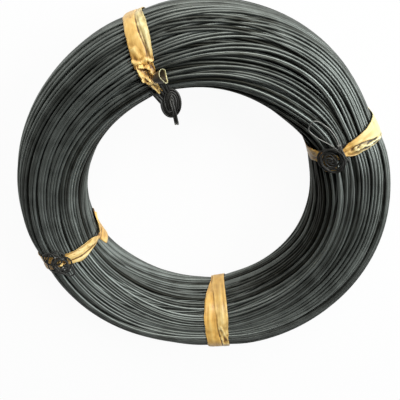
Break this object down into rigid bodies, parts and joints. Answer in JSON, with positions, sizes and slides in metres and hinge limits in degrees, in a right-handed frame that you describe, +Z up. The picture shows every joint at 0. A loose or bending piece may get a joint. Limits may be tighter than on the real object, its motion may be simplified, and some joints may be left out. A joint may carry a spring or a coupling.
{
  "type": "coil of cold heading wire",
  "caption": "Thick ring-shaped coil of dark steel wire lying on its end, held by kraft paper bands with knotted tie wires; stock for heading fasteners.",
  "frame": {"origin": "on the coil's axis at the floor it lies on", "axes": "+Z up along the coil's axis; +X to the right and +Y towards the top of the picture"},
  "size_m": [0.6, 0.6, 0.1385],
  "materials": {
    "steel_wire": "dark drawn and phosphated steel wire with a dull sheen",
    "kraft_paper": "creased waxed kraft paper",
    "black_tie_wire": "black annealed soft iron wire"
  },
  "bodies": {
    "root": {"wire_coil": "steel_wire", "paper_band_back_left": "kraft_paper", "paper_band_right": "kraft_paper", "paper_band_left": "kraft_paper", "paper_band_front": "kraft_paper", "tie_wire_back_left": "black_tie_wire", "tie_wire_right": "black_tie_wire", "tie_wire_left": "black_tie_wire", "tie_wire_front": "black_tie_wire"}
  },
  "joints": []
}
